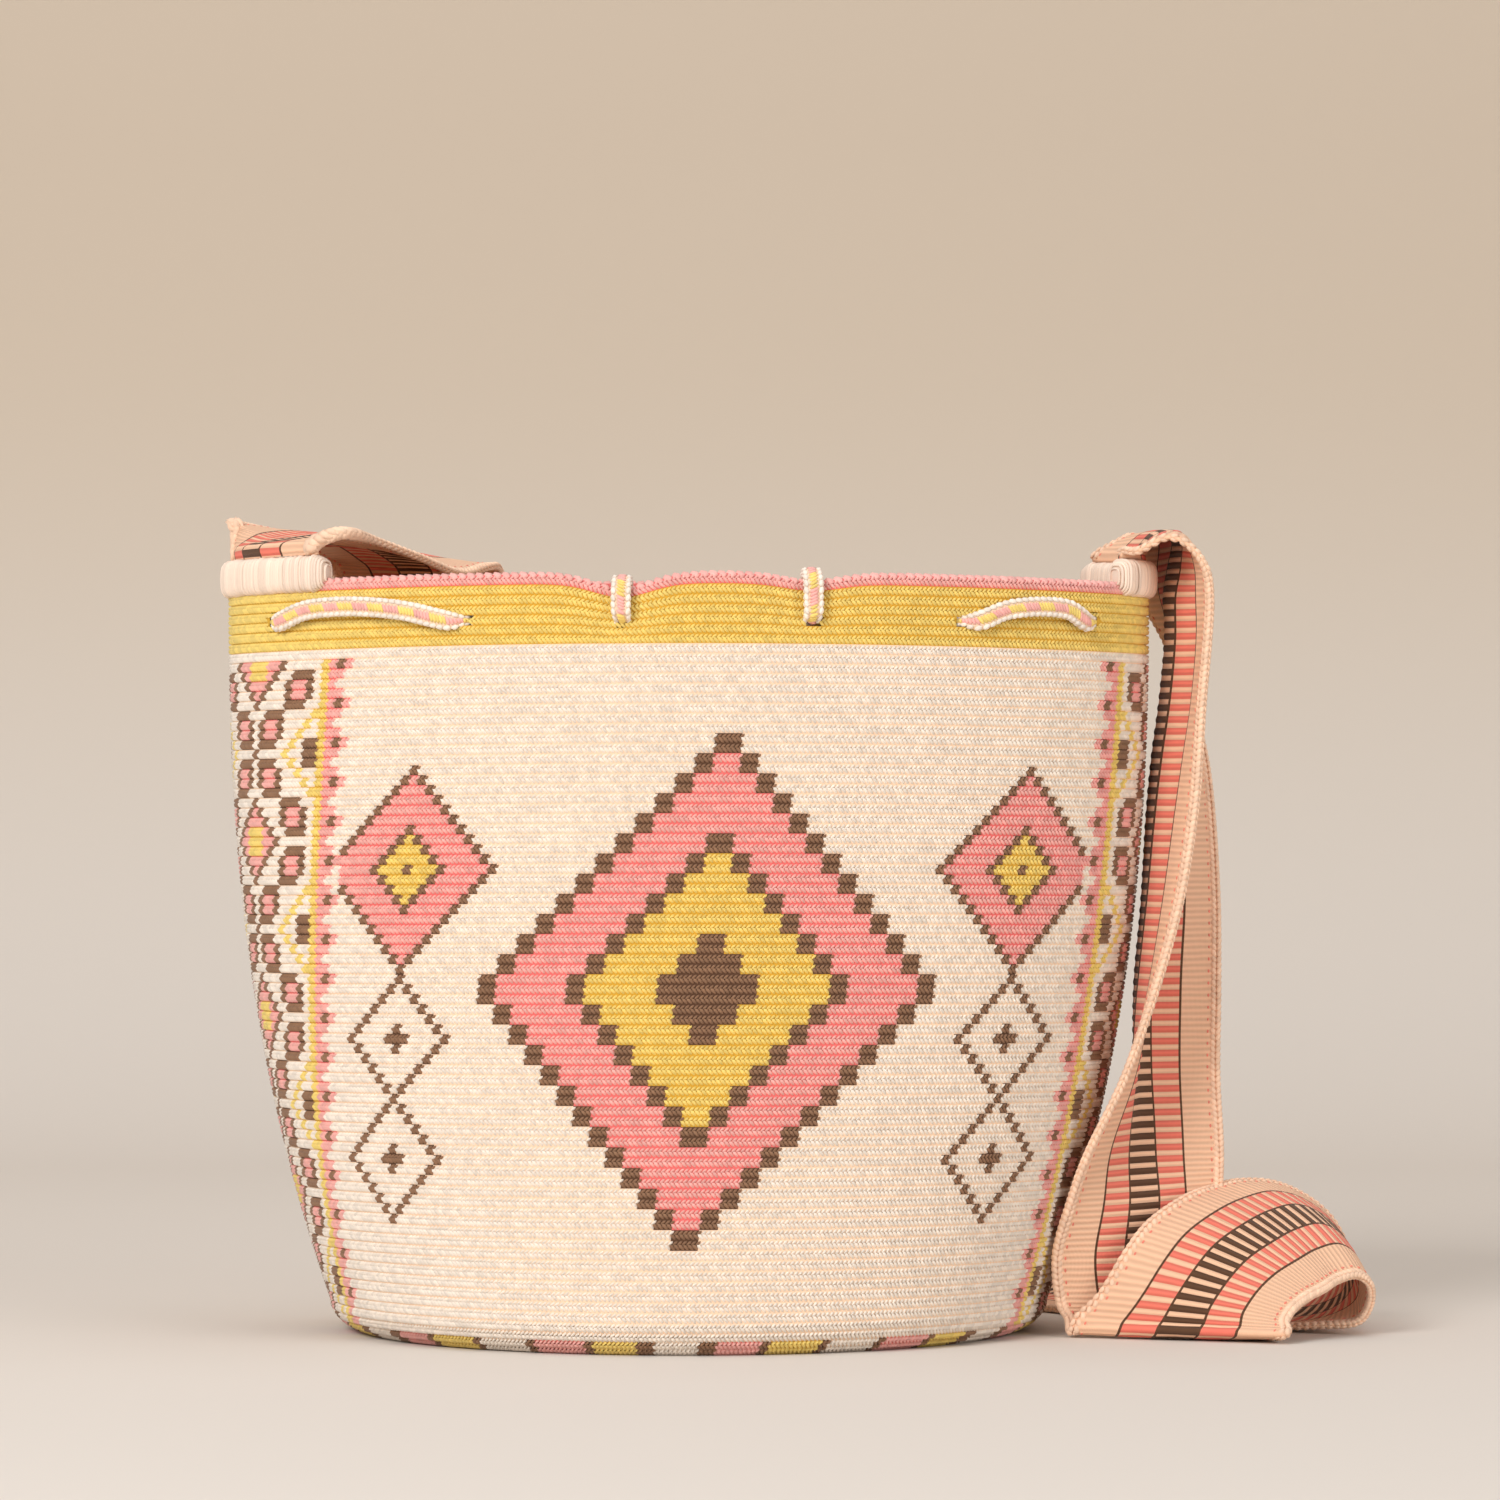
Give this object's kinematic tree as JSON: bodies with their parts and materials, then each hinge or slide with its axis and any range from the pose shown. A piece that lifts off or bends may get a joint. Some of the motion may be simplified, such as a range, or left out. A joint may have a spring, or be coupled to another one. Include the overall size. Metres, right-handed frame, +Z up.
{
  "type": "crocheted shoulder bag",
  "caption": "Crocheted bucket shoulder bag, round base and oval mouth, with a braided drawstring in its rim band and a woven shoulder strap lying folded beside it.",
  "frame": {"origin": "centre of the flat base, on the surface that the bag stands on", "axes": "+Z up, the front face towards -Y, the long side of the oval mouth along X"},
  "size_m": [0.441, 0.2767, 0.3107],
  "materials": {
    "cream_crochet": "matte cotton crochet",
    "peach_webbing": "matte warp-faced weave",
    "peach_stitching": "matte whipped yarn",
    "braided_cord": "matte braid",
    "coral_tassel": "matte cut yarn"
  },
  "bodies": {
    "root": {"crocheted_bag": "cream_crochet", "shoulder_strap": "peach_webbing", "left_strap_stitching": "peach_stitching", "right_strap_stitching": "peach_stitching", "drawstring": "braided_cord", "left_cord_tassel": "coral_tassel", "right_cord_tassel": "coral_tassel"}
  },
  "joints": []
}
